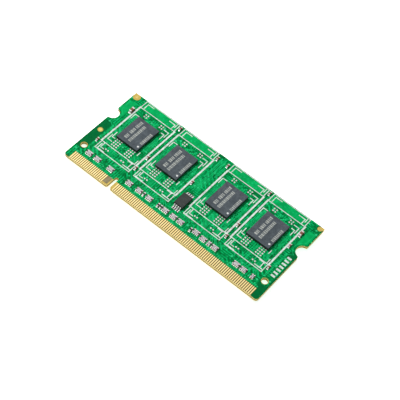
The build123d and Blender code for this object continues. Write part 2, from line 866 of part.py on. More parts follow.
finish(build_bodies(array_chip, pair_chip), "array_bodies")
finish(build_glaze(array_chip, pair_chip), "array_glaze")
finish(build_terminals(array_chip, pair_chip), "array_terminals")
finish(build_bodies(single_chip), "resistor_bodies")
finish(build_glaze(single_chip), "resistor_glaze")
finish(build_terminals(single_chip), "resistor_terminals")
finish(build_bodies(capacitor_chip, bulk_chip), "capacitor_bodies")
finish(build_terminals(capacitor_chip, bulk_chip), "capacitor_terminals")

with BuildPart() as solder_joints:
    for chip in (array_chip, pair_chip, single_chip, capacitor_chip, bulk_chip):
        with Locations(*placed([chip], inner=True)):
            add(solder_unit(chip.terminal_width, chip.length / 2 + plating).part)
    with Locations(*[spd_seat * turn for turn in lead_turns]):
        add(solder_unit(lead_width, lead_span / 2).part)
finish(solder_joints, "solder_joints")
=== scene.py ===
import math
import random

import bmesh
import bpy
from mathutils import Matrix, Vector
from mathutils.geometry import tessellate_polygon


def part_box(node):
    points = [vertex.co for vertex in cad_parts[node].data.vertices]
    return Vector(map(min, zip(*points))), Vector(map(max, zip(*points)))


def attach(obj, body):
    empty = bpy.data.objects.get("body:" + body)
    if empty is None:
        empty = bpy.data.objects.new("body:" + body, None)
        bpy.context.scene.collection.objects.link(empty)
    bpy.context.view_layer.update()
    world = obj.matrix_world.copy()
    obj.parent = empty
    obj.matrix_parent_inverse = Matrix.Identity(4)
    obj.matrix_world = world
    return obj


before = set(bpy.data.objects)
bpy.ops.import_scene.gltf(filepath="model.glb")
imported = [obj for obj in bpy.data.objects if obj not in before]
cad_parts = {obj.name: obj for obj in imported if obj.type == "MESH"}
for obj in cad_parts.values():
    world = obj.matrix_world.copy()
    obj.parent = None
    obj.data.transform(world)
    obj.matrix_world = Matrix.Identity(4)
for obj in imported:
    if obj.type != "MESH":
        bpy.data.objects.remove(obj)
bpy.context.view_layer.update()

MM = 0.001
SAME_VERTEX = 2e-7
SEED = 7
rng = random.Random(SEED)


# ---------------------------------------------------------------- places read from the frame
def islands(node):
    """(lowest, highest) corner in mm of every separate solid of a CAD node, sorted."""
    bm = bmesh.new()
    bm.from_mesh(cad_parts[node].data)
    bmesh.ops.remove_doubles(bm, verts=bm.verts, dist=SAME_VERTEX)
    seen, found = set(), []
    for start in bm.verts:
        if start in seen:
            continue
        stack, low, high = [start], start.co.copy(), start.co.copy()
        seen.add(start)
        while stack:
            vert = stack.pop()
            low = Vector(map(min, low, vert.co))
            high = Vector(map(max, high, vert.co))
            for edge in vert.link_edges:
                other = edge.other_vert(vert)
                if other not in seen:
                    seen.add(other)
                    stack.append(other)
        found.append((low / MM, high / MM))
    bm.free()
    return sorted(found, key=lambda pair: tuple(pair[0]))


def middle(pair):
    return (pair[0] + pair[1]) / 2


def package_middle(number):
    """The middle in mm of a memory package on the front."""
    return middle([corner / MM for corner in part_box(f"front_chip_{number}_mould")])


board_low, board_high = (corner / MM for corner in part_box("core_laminate"))
LEFT, RIGHT, LOW, HIGH = board_low.x, board_high.x, board_low.y, board_high.y
FRONT_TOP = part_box("front_solder_mask")[1].z / MM
BACK_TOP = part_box("back_solder_mask")[0].z / MM
MIDDLE_Z = (FRONT_TOP + BACK_TOP) / 2
PACKAGE_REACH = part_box("front_chip_1_mould")[1].z / MM - MIDDLE_Z
SITES = sorted(package_middle(n).x for n in range(1, 5))
CHIP_Y = package_middle(1).y
CONTACTS = [middle(pair).x for pair in islands("front_contacts_short")]
FIRST_CONTACT, PITCH = CONTACTS[0], CONTACTS[1] - CONTACTS[0]


# ---------------------------------------------------------------- node materials
# The ranges that most of a noise texture's values lie in, spread out to 0-1 by Shader.patches
MOST = (0.35, 0.65)
NEARLY_ALL = (0.3, 0.7)

# The sockets of a Mix node that are for colours
MIX_SHARE, MIX_FIRST, MIX_SECOND, MIX_RESULT = 0, 6, 7, 2

# How far a face's normal points up or down: where it counts as upright, and where as lying flat
UPRIGHT, LYING = 0.3, 0.6

# The fineness of wear and of grain, as multiples of a material's mottling
WEAR_SCALE, GRAIN_SCALE = 1.7, 6
GRAIN_STRENGTH = 0.4


def tone(red, green, blue):
    """A colour given as 0-255 display values."""
    linear = [
        c / 255 / 12.92 if c <= 10 else ((c / 255 + 0.055) / 1.055) ** 2.4
        for c in (red, green, blue)
    ]
    return (*linear, 1.0)


def shaded(colour, share):
    """A colour given as display values, made darker or lighter."""
    return tone(*[c * share for c in colour])


class Shader:
    """A material and short ways to add nodes to it. Coordinates are the row frame's, in mm."""

    def __init__(self, name):
        self.material = bpy.data.materials.new(name)
        self.material.use_nodes = True
        self.tree = self.material.node_tree
        self.tree.nodes.clear()
        output = self.add("ShaderNodeOutputMaterial")
        self.surface = self.add("ShaderNodeBsdfPrincipled")
        self.link(self.surface.outputs[0], output.inputs[0])
        self.place = self.add("ShaderNodeMapping")
        self.place.inputs["Scale"].default_value = (1 / MM,) * 3
        self.link(self.add("ShaderNodeTexCoord").outputs["Object"], self.place.inputs[0])

    def add(self, kind, **values):
        node = self.tree.nodes.new(kind)
        for key, value in values.items():
            setattr(node, key, value)
        return node

    def link(self, source, target):
        self.tree.links.new(source, target)

    def feed(self, socket, value):
        if isinstance(value, bpy.types.NodeSocket):
            self.link(value, socket)
        else:
            socket.default_value = value

    def stretched(self, scale):
        node = self.add("ShaderNodeMapping")
        node.inputs["Scale"].default_value = scale
        self.link(self.place.outputs[0], node.inputs[0])
        return node.outputs[0]

    def noise(self, scale, detail, stretch=None, rough=0.5):
        node = self.add("ShaderNodeTexNoise")
        node.inputs["Scale"].default_value = scale
        node.inputs["Detail"].default_value = detail
        node.inputs["Roughness"].default_value = rough
        self.link(self.stretched(stretch) if stretch else self.place.outputs[0], node.inputs["Vector"])
        return node.outputs["Fac"]

    def patches(self, scale, detail, spread=MOST, to=(0.0, 1.0), stretch=None, rough=0.5):
        """Noise with its middle range spread out over the whole of another range."""
        return self.fit(self.noise(scale, detail, stretch, rough), *spread, *to)

    def wave(self, scale, direction, distortion):
        node = self.add("ShaderNodeTexWave", bands_direction=direction)
        node.inputs["Scale"].default_value = scale
        node.inputs["Distortion"].default_value = distortion
        self.link(self.place.outputs[0], node.inputs["Vector"])
        return node.outputs["Fac"]

    def cells(self, scale):
        """Distance in cell sizes to the nearest of the points scattered over the board."""
        node = self.add("ShaderNodeTexVoronoi", feature="F1")
        node.inputs["Scale"].default_value = scale
        self.link(self.place.outputs[0], node.inputs["Vector"])
        return node.outputs["Distance"]

    def math(self, operation, *values):
        node = self.add("ShaderNodeMath", operation=operation)
        for socket, value in zip(node.inputs, values):
            self.feed(socket, value)
        return node.outputs[0]

    def fit(self, value, low, high, to_low=0.0, to_high=1.0):
        node = self.add("ShaderNodeMapRange")
        self.link(value, node.inputs["Value"])
        for key, number in zip(("From Min", "From Max", "To Min", "To Max"), (low, high, to_low, to_high)):
            node.inputs[key].default_value = number
        return node.outputs[0]

    def mix(self, share, first, second):
        node = self.add("ShaderNodeMix", data_type="RGBA")
        self.feed(node.inputs[MIX_SHARE], share)
        self.feed(node.inputs[MIX_FIRST], first)
        self.feed(node.inputs[MIX_SECOND], second)
        return node.outputs[MIX_RESULT]

    def tint(self, color, where, share, shade):
        """A colour with a share of another one laid over it where a field is 1."""
        return self.mix(self.math("MULTIPLY", where, share), color, shade)

    def blend(self, share, first, second):
        return self.math("ADD", first, self.math("MULTIPLY", share, self.math("SUBTRACT", second, first)))

    def axis(self, letter):
        node = self.add("ShaderNodeSeparateXYZ")
        self.link(self.place.outputs[0], node.inputs[0])
        return node.outputs[letter]

    def distance(self, value, origin):
        return self.math("ABSOLUTE", self.math("SUBTRACT", value, origin))

    def flank(self):
        """1 on faces that stand upright and 0 on those that lie flat."""
        node = self.add("ShaderNodeSeparateXYZ")
        self.link(self.add("ShaderNodeNewGeometry").outputs["True Normal"], node.inputs[0])
        return self.fit(self.math("ABSOLUTE", node.outputs["Z"]), UPRIGHT, LYING, 1.0, 0.0)

    def inside(self, x0, x1, y0, y1, soft=0.12):
        """1 within a rectangle of the board and 0 outside it, with a soft edge."""
        across = self.math("SUBTRACT", (x1 - x0) / 2, self.distance(self.axis("X"), (x0 + x1) / 2))
        along = self.math("SUBTRACT", (y1 - y0) / 2, self.distance(self.axis("Y"), (y0 + y1) / 2))
        return self.fit(self.math("MINIMUM", across, along), -soft, soft)

    def bump(self, height, strength, depth):
        node = self.add("ShaderNodeBump")
        node.inputs["Strength"].default_value = strength
        node.inputs["Distance"].default_value = depth * MM
        self.link(height, node.inputs["Height"])
        self.link(node.outputs[0], self.surface.inputs["Normal"])

    def set(self, **values):
        names = {"color": "Base Color", "rough": "Roughness", "metal": "Metallic",
                 "specular": "Specular IOR Level", "coat": "Coat Weight"}
        for key, value in values.items():
            self.feed(self.surface.inputs[names[key]], value)


def grained(name, light, dark, scale, rough, metal=0.0, specular=0.5, depth=0.004, coat=0.0):
    """A material with mottled colour, uneven roughness and a fine grain."""
    shader = Shader(name)
    cloud = shader.patches(scale, 4.0, NEARLY_ALL)
    shader.set(
        color=shader.mix(cloud, tone(*dark), tone(*light)),
        rough=shader.patches(scale * WEAR_SCALE, 3.0, NEARLY_ALL, rough),
        metal=metal, specular=specular, coat=coat,
    )
    shader.bump(shader.noise(scale * GRAIN_SCALE, 2.0), GRAIN_STRENGTH, depth)
    return shader.material


TRACK_SCALE, SLANTED_SCALE = 0.46, 0.4


def track_field(shader):
    """Faint lines from copper below the mask: along the board in some patches, across or aslant in others."""
    along, across = shader.wave(TRACK_SCALE, "Y", 1.6), shader.wave(TRACK_SCALE, "X", 1.6)
    slanted = shader.wave(SLANTED_SCALE, "DIAGONAL", 1.2)
    lines = shader.blend(shader.patches(0.3, 1.0, (0.47, 0.53)), across, along)
    return shader.blend(shader.patches(0.24, 1.0, (0.55, 0.6), stretch=(1.3, 0.8, 1.0)), lines, slanted)


def mask_material(name, zones):
    """Green solder mask with faint lines and dots in it. The zones are dark and plain."""
    shader = Shader(name)
    cloud = shader.patches(0.35, 5.0, rough=0.6)
    mottle = shader.patches(1.5, 3.0, rough=0.7)
    dark = shader.inside(*zones[0])
    for zone in zones[1:]:
        dark = shader.math("MAXIMUM", dark, shader.inside(*zone))
    open_area = shader.math("SUBTRACT", 1.0, dark)
    tracks = shader.fit(track_field(shader), 0.55, 0.9)
    lines = shader.math("MULTIPLY", tracks, shader.patches(0.5, 2.0, (0.4, 0.55)))
    lines = shader.math("MULTIPLY", lines, open_area)
    dots = shader.math("MULTIPLY", shader.fit(shader.cells(0.62), 0.14, 0.24, 1.0, 0.0), open_area)
    color = shader.mix(cloud, tone(0, 140, 68), tone(0, 172, 90))
    color = shader.tint(color, mottle, 0.95, tone(0, 76, 34))
    color = shader.tint(color, lines, 0.85, tone(6, 206, 118))
    color = shader.tint(color, dots, 0.75, tone(64, 220, 150))
    color = shader.tint(color, dark, 0.85, tone(2, 104, 52))
    shader.set(color=color, rough=shader.patches(1.1, 3.0, NEARLY_ALL, (0.2, 0.32)), specular=0.05)
    shader.bump(shader.math("ADD", shader.noise(3.0, 4.0), lines), 0.45, 0.02)
    return shader.material


def raised_mask_material(name, light, dark):
    """Solder mask where it lies over outer copper: brighter and smoother."""
    shader = Shader(name)
    cloud = shader.patches(0.8, 4.0)
    shader.set(color=shader.mix(cloud, tone(*dark), tone(*light)),
               rough=shader.patches(1.3, 3.0, NEARLY_ALL, (0.2, 0.3)), specular=0.1)
    shader.bump(shader.noise(3.5, 3.0), 0.4, 0.014)
    return shader.material


def laminate_material(name, light, dark, line, zones=(), painted_wall_tone=None):
    """Glass-fibre laminate: a faint weave on its face, fibre layers, and painted light on its upright cut
    walls: painted shade in the layer-line tone by default, a painted highlight where a pale wall tone is
    given.

    Each zone is a rectangle of the board and the colour of the laminate within it.
    """
    shader = Shader(name)
    weave = shader.math("MAXIMUM", shader.wave(0.62, "X", 0.6), shader.wave(0.62, "Y", 0.6))
    layers = shader.fit(shader.wave(2.6, "Z", 1.5), 0.0, 1.0)
    fibre = shader.patches(1.2, 4.0, stretch=(1.0, 1.0, 14.0))
    color = shader.tint(tone(*light), weave, 0.35, tone(*dark))
    color = shader.tint(color, fibre, 0.5, tone(*dark))
    color = shader.tint(color, layers, 0.25, tone(*line))
    for zone, colour in zones:
        own = shader.mix(fibre, tone(*colour), shaded(colour, 0.85))
        color = shader.mix(shader.inside(*zone, soft=0.05), color, own)
    # Painted light on the upright cut walls: the layer-line tone as painted shade, a pale wall tone as a
    # painted highlight.
    color = shader.tint(color, shader.flank(), 0.7, tone(*(painted_wall_tone or line)))
    shader.set(color=color, rough=shader.fit(fibre, 0.0, 1.0, 0.5, 0.75), specular=0.2)
    shader.bump(shader.math("ADD", weave, fibre), 0.35, 0.01)
    return shader.material


# Distance from a contact's middle line over which painted shade darkens its sides, as shares of the pitch
CONTACT_SHADE_SPAN = (0.2, 0.34)


def gold_material():
    """Plated contacts: wiping marks along each contact, slightly redder worn patches and painted shade along
    their sides.
    """
    shader = Shader("gold_finish")
    steps = shader.math("MULTIPLY_ADD", shader.axis("X"), 1 / PITCH, 0.5 - FIRST_CONTACT / PITCH)
    off_centre = shader.distance(shader.math("FRACT", steps), 0.5)
    rim = shader.fit(off_centre, *CONTACT_SHADE_SPAN)
    wiped = shader.noise(7.0, 3.0, (1.0, 0.12, 1.0))
    patch = shader.patches(0.9, 4.0, (0.35, 0.7))
    color = shader.mix(patch, tone(255, 236, 168), tone(252, 222, 144))
    color = shader.tint(color, shader.fit(wiped, 0.45, 0.7), 0.25, tone(230, 196, 120))
    # Painted shade: each contact darkened towards its sides, next to the gaps.
    color = shader.tint(color, rim, 0.9, tone(120, 88, 36))
    shader.set(color=color, rough=shader.fit(wiped, *NEARLY_ALL, 0.4, 0.55), metal=0.4, specular=0.4)
    shader.bump(wiped, 0.3, 0.003)
    return shader.material


def mould_material(name, light, dark):
    """Filled epoxy: fine pale grains in a dark blotched matrix, matt, with painted shade on its upright
    sides.
    """
    shader = Shader(name)
    grain = shader.patches(14.0, 4.0, (0.4, 0.68), rough=0.75)
    cloud = shader.patches(0.4, 3.0)
    blotch = shader.patches(1.7, 3.0, (0.4, 0.62), rough=0.7)
    color = shader.mix(cloud, tone(*dark), tone(*light))
    color = shader.tint(color, grain, 0.4, shaded(light, 1.35))
    color = shader.tint(color, blotch, 0.5, shaded(dark, 0.78))
    # Painted shade: the upright sides darkened to near black.
    color = shader.tint(color, shader.flank(), 0.7, shaded(dark, 0.4))
    shader.set(color=color, rough=shader.fit(grain, 0.0, 1.0, 0.5, 0.68), specular=0.2)
    shader.bump(shader.noise(9.0, 4.0, rough=0.7), 0.45, 0.012)
    return shader.material


# Depth below the package's face between which marks change from bar to dot
BAR_DEPTH, DOT_DEPTH = 0.008, 0.02


def mark_material():
    """Laser marks: grey bars level with the package's face and a paler dot in its recess."""
    shader = Shader("mark_finish")
    cloud = shader.patches(3.0, 4.0)
    height = shader.distance(shader.axis("Z"), MIDDLE_Z)
    level = shader.fit(height, PACKAGE_REACH - DOT_DEPTH, PACKAGE_REACH - BAR_DEPTH)
    bars = shader.mix(cloud, tone(146, 150, 146), tone(186, 190, 184))
    dot = shader.mix(cloud, tone(214, 220, 218), tone(250, 252, 250))
    shader.set(color=shader.mix(level, dot, bars), rough=shader.fit(cloud, 0.0, 1.0, 0.6, 0.8), specular=0.25)
    shader.bump(shader.noise(9.0, 3.0), 0.4, 0.004)
    return shader.material


# Where the mask is darkest: the strip by the left hole, the lower rim and four places at the right end
DARK_ZONES = [
    (LEFT - 1, LEFT + 2.9, LOW + 4.6, LOW + 16.8),
    (LEFT - 1, RIGHT + 1, LOW - 1, LOW + 0.4),
    (RIGHT - 2.9, RIGHT + 1, LOW - 1, LOW + 4.9),
    (RIGHT - 0.55, RIGHT + 1, LOW - 1, LOW + 18.4),
    (RIGHT - 1.9, RIGHT + 1, HIGH - 1.7, HIGH + 1),
    (RIGHT - 2.4, RIGHT + 1, LOW + 15.8, LOW + 18.4),
]

# Tones of the bare laminate: between the contacts, beside the key, along the edge and in small mask openings.
# Those between the contacts and in the mask openings are near black: painted shade.
SHORT_BANK, LONG_BANK = (LEFT + 1.9, LEFT + 13.85), (LEFT + 17.75, RIGHT - 1.9)
BANK_FOOT, BANK_HEAD = LOW + 0.12, LOW + 2.85
# The tone between the contacts is painted shade: near black in the narrow gaps.
GAP_PAINTED_SHADE, ALONG_EDGE = (20, 12, 4), (252, 230, 156)
BARE_TONES = [
    ((*SHORT_BANK, BANK_FOOT, BANK_HEAD), GAP_PAINTED_SHADE),
    ((LEFT + 13.85, LEFT + 15.35, LOW + 0.5, BANK_HEAD), (156, 142, 104)),
    ((LEFT + 1.2, LEFT + 13.9, LOW - 1, BANK_FOOT), ALONG_EDGE),
    ((LEFT + 17.7, RIGHT - 1.2, LOW - 1, BANK_FOOT), ALONG_EDGE),
    ((*LONG_BANK, BANK_FOOT, BANK_HEAD), GAP_PAINTED_SHADE),
    # Painted shade: near-black green laminate in the recessed mask openings round the lands.
    ((LEFT + 3.05, RIGHT - 3.05, LOW + 4.1, HIGH - 0.9), (12, 46, 28)),
]

MATERIALS = {
    "mask": mask_material("mask_finish", DARK_ZONES),
    "pour": raised_mask_material("pour_finish", (2, 184, 98), (0, 158, 82)),
    "trace": raised_mask_material("trace_finish", (30, 206, 124), (6, 168, 92)),
    # The core's and the carrier's upright cut walls take their dark layer-line tone as painted shade.
    "laminate": laminate_material("laminate_finish", (192, 174, 98), (152, 134, 66), (112, 98, 40)),
    # The outer layers' pale wall tone is a painted highlight along their cut walls.
    "outer": laminate_material(
        "outer_finish", (224, 196, 104), (188, 160, 76), (160, 134, 56), BARE_TONES, (240, 216, 136)),
    "carrier": laminate_material("carrier_finish", (46, 58, 40), (30, 38, 28), (20, 24, 18)),
    "gold": gold_material(),
    "copper": grained("copper_finish", (206, 132, 92), (176, 104, 70), 1.2, (0.25, 0.4), metal=1.0),
    "tin": grained("tin_finish", (255, 252, 250), (208, 200, 204), 1.8, (0.3, 0.5), metal=0.3, depth=0.008),
    "ink": grained(
        "ink_finish", (244, 250, 246), (186, 196, 190), 1.7, (0.5, 0.7), specular=0.3, depth=0.006),
    "mould": mould_material("mould_finish", (84, 92, 98), (66, 74, 80)),
    "shell": mould_material("shell_finish", (62, 66, 64), (46, 50, 48)),
    "mark": mark_material(),
    "silicon": grained("silicon_finish", (66, 70, 84), (44, 48, 60), 2.0, (0.1, 0.2), metal=0.5),
    "film": grained("film_finish", (196, 186, 150), (170, 160, 126), 3.0, (0.5, 0.7)),
    "wire": grained("wire_finish", (244, 204, 118), (220, 176, 92), 8.0, (0.2, 0.35), metal=1.0),
    "encapsulant": grained("encapsulant_finish", (40, 42, 46), (26, 28, 32), 3.0, (0.3, 0.5)),
    "alumina": grained("alumina_finish", (228, 192, 204), (190, 152, 166), 1.6, (0.45, 0.65), depth=0.008),
    "glaze": grained("glaze_finish", (72, 50, 56), (44, 30, 36), 4.0, (0.2, 0.35), coat=0.3),
    "dielectric": grained("dielectric_finish", (150, 92, 60), (104, 54, 34), 3.0, (0.4, 0.6), depth=0.008),
    "fiducial": grained("fiducial_finish", (252, 226, 138), (240, 206, 112), 2.0, (0.25, 0.4), metal=0.6),
}

NODE_FINISH = {
    "core_laminate": "laminate", "front_laminate": "outer", "back_laminate": "outer",
    "ground_plane": "copper", "power_plane": "copper",
    "front_solder_mask": "mask", "back_solder_mask": "mask", "front_legend": "ink", "back_legend": "ink",
    "front_contacts_short": "gold", "front_contacts_long": "gold",
    "back_contacts_short": "gold", "back_contacts_long": "gold",
    "front_pads": "tin", "back_pads": "tin", "front_fiducials": "fiducial", "back_fiducials": "fiducial",
    "front_balls": "tin", "back_balls": "tin", "die_attach": "film", "bond_wires": "wire",
    "slot_fill": "encapsulant", "chip_marks": "mark",
    "spd_body": "shell", "spd_leads": "tin", "spd_die": "silicon", "spd_wires": "wire",
    "array_bodies": "alumina", "array_glaze": "glaze", "array_terminals": "tin",
    "resistor_bodies": "alumina", "resistor_glaze": "glaze", "resistor_terminals": "tin",
    "capacitor_bodies": "dielectric", "capacitor_terminals": "tin", "solder_joints": "tin",
}
CHIP_FINISH = {"carrier": "carrier", "die": "silicon", "mould": "mould"}


def coat(piece, finish):
    piece.data.materials.clear()
    piece.data.materials.append(MATERIALS[finish])


for name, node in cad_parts.items():
    coat(node, NODE_FINISH.get(name) or CHIP_FINISH[name.rsplit("_", 1)[1]])


# ---------------------------------------------------------------- mesh building
ROUND_STEPS = 12
SHARPEST_BEND = 0.5


def keep(name, bm, finish):
    """Turn a bmesh drawn in mm into a piece that rides on the board."""
    bmesh.ops.recalc_face_normals(bm, faces=bm.faces)
    bmesh.ops.scale(bm, vec=(MM,) * 3, verts=bm.verts)
    mesh = bpy.data.meshes.new(name)
    bm.to_mesh(mesh)
    bm.free()
    piece = bpy.data.objects.new(name, mesh)
    bpy.context.scene.collection.objects.link(piece)
    coat(piece, finish)
    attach(piece, "root")


def ribbon(bm, path, width, base, top):
    """A flat-topped ridge with sloping sides along a path, mitred at its bends and closed at its ends."""
    points = [Vector(p) for p in path]
    foot = width / 2 + abs(top - base)
    rows = []
    for index, point in enumerate(points):
        before = (point - points[index - 1]).normalized() if index else None
        after = (points[index + 1] - point).normalized() if index < len(points) - 1 else None
        before, after = before or after, after or before
        tangent = (before + after).normalized()
        side = Vector((-tangent.y, tangent.x)) / max(SHARPEST_BEND, tangent.dot(after))
        rows.append([
            bm.verts.new((*(point + side * foot), base)), bm.verts.new((*(point + side * width / 2), top)),
            bm.verts.new((*(point - side * width / 2), top)), bm.verts.new((*(point - side * foot), base)),
        ])
    for first, second in zip(rows, rows[1:]):
        for a in range(4):
            b = (a + 1) % 4
            bm.faces.new((first[a], first[b], second[b], second[a]))
    bm.faces.new(rows[0])
    bm.faces.new(reversed(rows[-1]))


def lathe(bm, centre, profile):
    """A closed round solid from (radius, height) pairs that begin and end on its axis."""
    turns = [2 * math.pi * k / ROUND_STEPS for k in range(ROUND_STEPS)]
    rings = []
    for radius, z in profile:
        if radius == 0:
            rings.append([bm.verts.new((*centre, z))])
        else:
            rings.append([
                bm.verts.new((centre[0] + radius * math.cos(t), centre[1] + radius * math.sin(t), z))
                for t in turns
            ])
    for first, second in zip(rings, rings[1:]):
        for a in range(ROUND_STEPS):
            b = (a + 1) % ROUND_STEPS
            if len(first) == 1:
                bm.faces.new((first[0], second[a], second[b]))
            elif len(second) == 1:
                bm.faces.new((first[a], first[b], second[0]))
            else:
                bm.faces.new((first[a], first[b], second[b], second[a]))


def plate(bm, outline, holes, base, top):
    """A thin plate with holes through it."""
    loops = [[Vector((*p, 0)) for p in loop] for loop in (outline, *holes)]
    flat = [p for loop in loops for p in loop]
    low = [bm.verts.new((p.x, p.y, base)) for p in flat]
    high = [bm.verts.new((p.x, p.y, top)) for p in flat]
    for a, b, c in tessellate_polygon(loops):
        bm.faces.new((low[a], low[b], low[c]))
        bm.faces.new((high[a], high[b], high[c]))
    start = 0
    for loop in loops:
        count = len(loop)
        for k in range(count):
            a, b = start + k, start + (k + 1) % count
            bm.faces.new((low[a], low[b], high[b], high[a]))
        start += count


def rectangle(x0, x1, y0, y1):
    return [(x0, y0), (x1, y0), (x1, y1), (x0, y1)]


def arc(x, y, radius, start, end, steps):
    """Points on an arc, angles in degrees."""
    turns = [math.radians(start + (end - start) * k / steps) for k in range(steps + 1)]
    return [(x + radius * math.cos(t), y + radius * math.sin(t)) for t in turns]


def facing(way, *angles):
    """Angles in degrees as they are, or mirrored left to right where way is -1."""
    return [angle if way > 0 else 180 - angle for angle in angles]


# ---------------------------------------------------------------- copper under the mask
# Widths of the ridges, how far they stand above the mask and reach into it, and how far they lap
TRACE, FINE_TRACE = 0.14, 0.11
RISE, SUNK = 0.010, 0.012
SAME_POINT = 0.02
LAP = 0.01

# Radii of a via, its rim above the ridges and its floor above the mask, and the space round it
VIA_FOOT, VIA_RIM, VIA_MOUTH, VIA_FLOOR = 0.25, 0.22, 0.12, 0.07
VIA_RISE, VIA_DIP = 0.002, 0.003
VIA_GAP, VIA_SPACING = 0.32, 0.5

# Clearance of a copper area round a land, its height as a share of the ridges', and its cut corners
POUR_GAP, POUR_RISE = 0.16, 0.8
POUR_CORNER = 0.3


class Face:
    """One face of the board: where its ridges stand and the lands that they must miss."""

    def __init__(self, name, surface, way):
        self.name, self.surface, self.way = name, surface, way
        self.base, self.top = surface - way * SUNK, surface + way * RISE
        self.lands = islands(f"{name}_pads")
        self.contacts = islands(f"{name}_contacts_short") + islands(f"{name}_contacts_long")
        self.traces, self.pours, self.vias = bmesh.new(), bmesh.new(), bmesh.new()
        self.taken = []

    def trace(self, *path, width=TRACE):
        """A track along a path, left out where the path has no length."""
        clean = [path[0]]
        for point in path[1:]:
            if math.dist(point, clean[-1]) > SAME_POINT:
                clean.append(point)
        if len(clean) > 1:
            ribbon(self.traces, clean, width, self.base, self.top)

    def free(self, x, y):
        """Whether a via may stand here, clear of lands and other vias."""
        for low, high in self.lands:
            if low.x - VIA_GAP < x < high.x + VIA_GAP and low.y - VIA_GAP < y < high.y + VIA_GAP:
                return False
        return all(math.dist((x, y), other) > VIA_SPACING for other in self.taken)

    def via(self, x, y):
        if not self.free(x, y):
            return
        self.taken.append((x, y))
        rim = self.surface + self.way * (RISE + VIA_RISE)
        floor = self.surface + self.way * VIA_DIP
        lathe(self.vias, (x, y), [
            (0, self.base), (VIA_FOOT, self.base), (VIA_RIM, rim),
            (VIA_MOUTH, rim), (VIA_FLOOR, floor), (0, floor),
        ])

    def pour(self, outline):
        """A copper area with clearances round the lands inside it."""
        xs, ys = [p[0] for p in outline], [p[1] for p in outline]
        holes = []
        for low, high in self.lands:
            x0, x1, y0, y1 = low.x - POUR_GAP, high.x + POUR_GAP, low.y - POUR_GAP, high.y + POUR_GAP
            if min(xs) < x0 and x1 < max(xs) and min(ys) < y0 and y1 < max(ys):
                holes.append(rectangle(x0, x1, y0, y1))
        plate(self.pours, outline, holes, self.base, self.surface + self.way * RISE * POUR_RISE)

    def lands_between(self, low, high):
        """Middles of the lands between two heights above the contact edge."""
        return [middle(p) for p in self.lands if LOW + low < middle(p).y < LOW + high]

    def keep(self):
        keep(f"{self.name}_traces", self.traces, "trace")
        keep(f"{self.name}_pours", self.pours, "pour")
        keep(f"{self.name}_vias", self.vias, "trace")


# Heights above the contact edge between which the lower and the upper lands of the arrays lie
LOWER_LANDS, UPPER_LANDS = (3.6, 4.7), (5.0, 6.2)

# How near to a land's middle a track ends, how far it laps over a contact, how far aside it may lead,
# and how far it runs where no land is near
LAND_REACH, CONTACT_LAP = 0.2, 0.02
FAN_REACH = 0.75
STUBS = (0.55, 1.0, 0.75)

# Lanes for tracks at a package, from its middle. Those beyond SIDE pass beside it and turn in at SIDE_END
LANES = [-5.5, -5.15, -4.8, -4.45, -4.1, -2.8, -2.0, -1.2, -0.9, -0.6, -0.3, 0.0, 0.3, 0.6, 0.9, 1.2,
         2.0, 2.8, 4.1, 4.45, 4.8, 5.15]
SITE_REACH, SIDE, SIDE_END = 7.0, 3.5, 3.6
PACKAGE_FOOT = CHIP_Y - 4.9
SPARE_LANE_SHARE = 0.8

# Tracks at a package and in the middle: how many, the first one's distance from the middle, and their pitch
TUNED_TRACKS, TUNED_FIRST, TUNED_PITCH = 3, 4.25, 0.55
PLAIN_TRACKS, PLAIN_FIRST, PLAIN_PITCH = 4, 4.15, 0.4
FAN_TRACKS, FAN_PITCH = 9, 0.42
ARC_TRACKS, ARC_FIRST, ARC_PITCH, ARC_STEPS = 4, 1.15, 0.3, 10
MIDDLE_TRACKS, MIDDLE_FIRST, MIDDLE_PITCH = 9, -1.5, 0.34

# Rows of vias along the top edge and above the arrays
TOP_VIAS, TOP_VIA_FIRST, TOP_VIA_PITCH = 12, -5.0, 0.9
ROW_VIAS, ROW_VIA_FIRST, ROW_VIA_PITCH = 26, 3.2, 2.45

# A tuned track's straight ends, the length of its waves' sides and their reach
TUNED_LEAD, TUNED_STEP, TUNED_REACH = 0.6, 0.32, 0.24
BEND = 0.5

# The latch notches, and how far from their middle the ground copper and the corner areas end
NOTCH_Y = LOW + 20.0
RIM_RADIUS, RIM_STEPS = 2.75, 12
AREA_RADIUS, AREA_STEPS = 2.35, 8


def jog(x0, y0, x1, y1, lead=0.2):
    """A path up from one place to another with one 45 degree step between."""
    step = min(abs(x1 - x0), abs(y1 - y0) - lead)
    return [(x0, y0), (x0, y0 + lead), (x1, y0 + lead + step), (x1, y1)]


def route_contacts(face):
    """Short tracks from the contacts to the lands above them, or to a via."""
    targets = face.lands_between(*LOWER_LANDS)
    used = set()
    for number, (low, high) in enumerate(face.contacts):
        x, start = (low.x + high.x) / 2, high.y - CONTACT_LAP
        near = [(abs(target.x - x), k) for k, target in enumerate(targets)
                if k not in used and abs(target.x - x) < FAN_REACH]
        if near:
            k = min(near)[1]
            used.add(k)
            face.trace(*jog(x, start, targets[k].x, targets[k].y - LAND_REACH))
            continue
        end = high.y + STUBS[number % 3]
        face.trace((x, start), (x, end))
        face.via(x, end)


